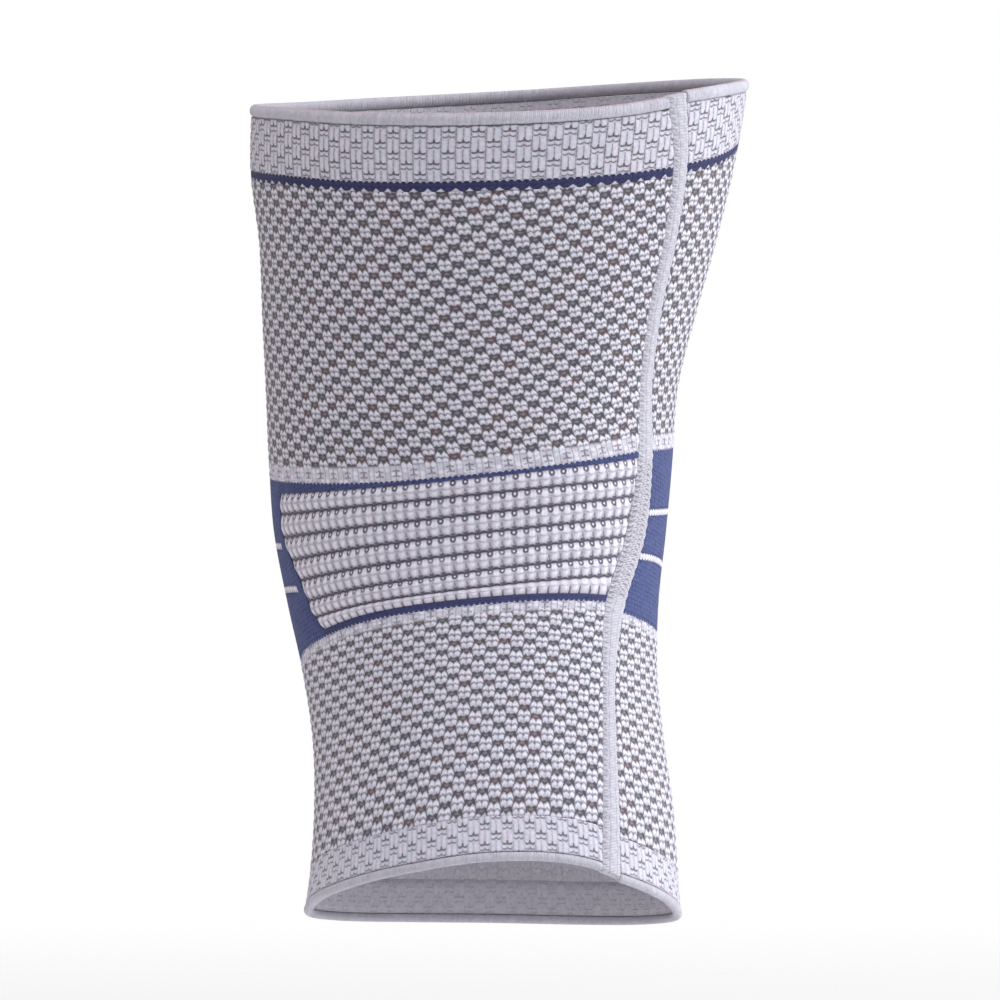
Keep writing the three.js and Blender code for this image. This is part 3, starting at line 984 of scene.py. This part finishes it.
calfPanel = knitted(
    "calfPanel", calfPanelSizes,
    around(aboveCalfCuff, lineOf["bandLow"], stitch=calfStitch, relief=tuckRelief),
    materials["tuckCalf"], ["calf_panel"])
calfCuff = knitted(
    "calfCuff", calfCuffSizes,
    around(aboveCalfHem, aboveCalfCuff, stitch=plainStitch(aboveCalfHem), relief=brickRelief),
    materials["brickLow"], ["calf_cuff"])
calfHem = knitted(
    "calfHem", calfHemSizes,
    around(end, aboveCalfHem, stitch=plainStitch(end), relief=plainRelief,
           shape=welt(calfHemSizes["thickness"])),
    materials["hem"], ["calf_hem"])

# The flat seam from hem to hem, crowned across its width and faintly ridged along it.
seamSizes = {
    "crown": 0.6, "ridges": 0.12, "walesPerDegree": 0.2,
    "columns": 24, "rows": 420, "innerRows": 60,
}


def seamWall(up, depth, across):
    crown = seamSizes["crown"] * (1 - (2 * across - 1) ** 2)
    return up, mix(-leg["wall"], crown, depth)


def seamRelief(wale, course, across):
    return seamSizes["ridges"] * wave(course * 2 + across)


def seamStitch(turn, height):
    return turn * seamSizes["walesPerDegree"], height / plainKnit["courseHeight"]


seam = knitted(
    "seamStrip", seamSizes,
    {"start": lambda height: seamEdge(height, -1, 0) + 360,
     "stop": lambda height: seamEdge(height, 1, 0) + 360,
     "low": end, "high": hem, "shape": seamWall, "stitch": seamStitch, "relief": seamRelief},
    materials["seam"], ["seam"])
print("calf and seam knitted")

# The camera stands where the photograph was taken, level and 2 m off.
view = {"right": 0.00915, "away": 2.0, "up": 0.013725, "widthSeen": 0.305, "sensor": 36}
camera = bpy.data.objects.new("camera", bpy.data.cameras.new("camera"))
bpy.context.scene.collection.objects.link(camera)
camera.location = (view["right"], -view["away"], view["up"])
camera.rotation_euler = (math.radians(90), 0, 0)
camera.data.sensor_width = view["sensor"]
camera.data.lens = view["sensor"] * view["away"] / view["widthSeen"]
bpy.context.scene.camera = camera

# A plain pale floor that fades into the white studio.
floorLook = {
    "height": -0.25, "radius": 3.0, "fadeFrom": 0.6, "fadeTo": 2.2,
    "color": (0.93, 0.93, 0.93), "roughness": 0.9,
}


def makeFloorPaint():
    paint = bpy.data.materials.new("floorPaint")
    paint.use_nodes = True
    tree = paint.node_tree
    shader = tree.nodes["Principled BSDF"]
    shader.inputs["Base Color"].default_value = (*floorLook["color"], 1)
    shader.inputs["Roughness"].default_value = floorLook["roughness"]
    place = tree.nodes.new("ShaderNodeTexCoord")
    far = tree.nodes.new("ShaderNodeVectorMath")
    far.operation = "LENGTH"
    tree.links.new(place.outputs["Object"], far.inputs[0])
    fade = Field(tree, far.outputs["Value"]).step(floorLook["fadeFrom"], floorLook["fadeTo"])
    clear = tree.nodes.new("ShaderNodeBsdfTransparent")
    blend = tree.nodes.new("ShaderNodeMixShader")
    tree.links.new(fade.source, blend.inputs[0])
    tree.links.new(shader.outputs[0], blend.inputs[1])
    tree.links.new(clear.outputs[0], blend.inputs[2])
    tree.links.new(blend.outputs[0], tree.nodes["Material Output"].inputs["Surface"])
    return paint


def makeFloor():
    mesh = bpy.data.meshes.new("floor")
    form = bmesh.new()
    bmesh.ops.create_circle(form, cap_ends=True, segments=96, radius=floorLook["radius"])
    bmesh.ops.translate(form, verts=form.verts, vec=(0, 0, floorLook["height"]))
    form.to_mesh(mesh)
    form.free()
    mesh.materials.append(makeFloorPaint())
    floor = bpy.data.objects.new("floor", mesh)
    bpy.context.scene.collection.objects.link(floor)


makeFloor()

# The studio is white to look at, and lights the sleeve softly, warmer from the left.
studioLook = {
    "left": (0.60, 0.54, 0.51), "right": (0.59, 0.61, 0.65), "from": -0.8, "to": 0.6,
    "wall": (1, 1, 1),
}


def makeStudio():
    world = bpy.data.worlds.new("studio")
    bpy.context.scene.world = world
    world.use_nodes = True
    tree = world.node_tree
    direction = tree.nodes.new("ShaderNodeTexCoord")
    parts = tree.nodes.new("ShaderNodeSeparateXYZ")
    tree.links.new(direction.outputs["Generated"], parts.inputs[0])
    rightward = Field(tree, parts.outputs["X"]).step(studioLook["from"], studioLook["to"])
    softLight = tree.nodes.new("ShaderNodeMix")
    softLight.data_type = "RGBA"
    tree.links.new(rightward.source, softLight.inputs["Factor"])
    softLight.inputs[6].default_value = (*studioLook["left"], 1)
    softLight.inputs[7].default_value = (*studioLook["right"], 1)
    seen = tree.nodes.new("ShaderNodeLightPath")
    wall = tree.nodes.new("ShaderNodeMix")
    wall.data_type = "RGBA"
    tree.links.new(seen.outputs["Is Camera Ray"], wall.inputs["Factor"])
    tree.links.new(softLight.outputs[2], wall.inputs[6])
    wall.inputs[7].default_value = (*studioLook["wall"], 1)
    background = tree.nodes["Background"]
    tree.links.new(wall.outputs[2], background.inputs["Color"])
    background.inputs["Strength"].default_value = 1.0


makeStudio()

# Two square lamps that face the knee.
lamps = {
    "rightLamp": {"place": (2.0, -0.15, 0.6), "size": 1.4, "power": 44, "color": (1, 1, 1)},
    "topLamp": {"place": (0, -0.8, 2.0), "size": 1.4, "power": 26, "color": (0.92, 0.96, 1.06)},
}
for name, lamp in lamps.items():
    light = bpy.data.lights.new(name, "AREA")
    light.size, light.energy, light.color = lamp["size"], lamp["power"], lamp["color"]
    holder = bpy.data.objects.new(name, light)
    holder.location = lamp["place"]
    x, y, z = lamp["place"]
    holder.rotation_euler = (math.atan2(math.hypot(x, y), z), 0, math.atan2(x, -y))
    bpy.context.scene.collection.objects.link(holder)
bpy.context.scene.view_settings.view_transform = "Standard"
print("camera and light set")
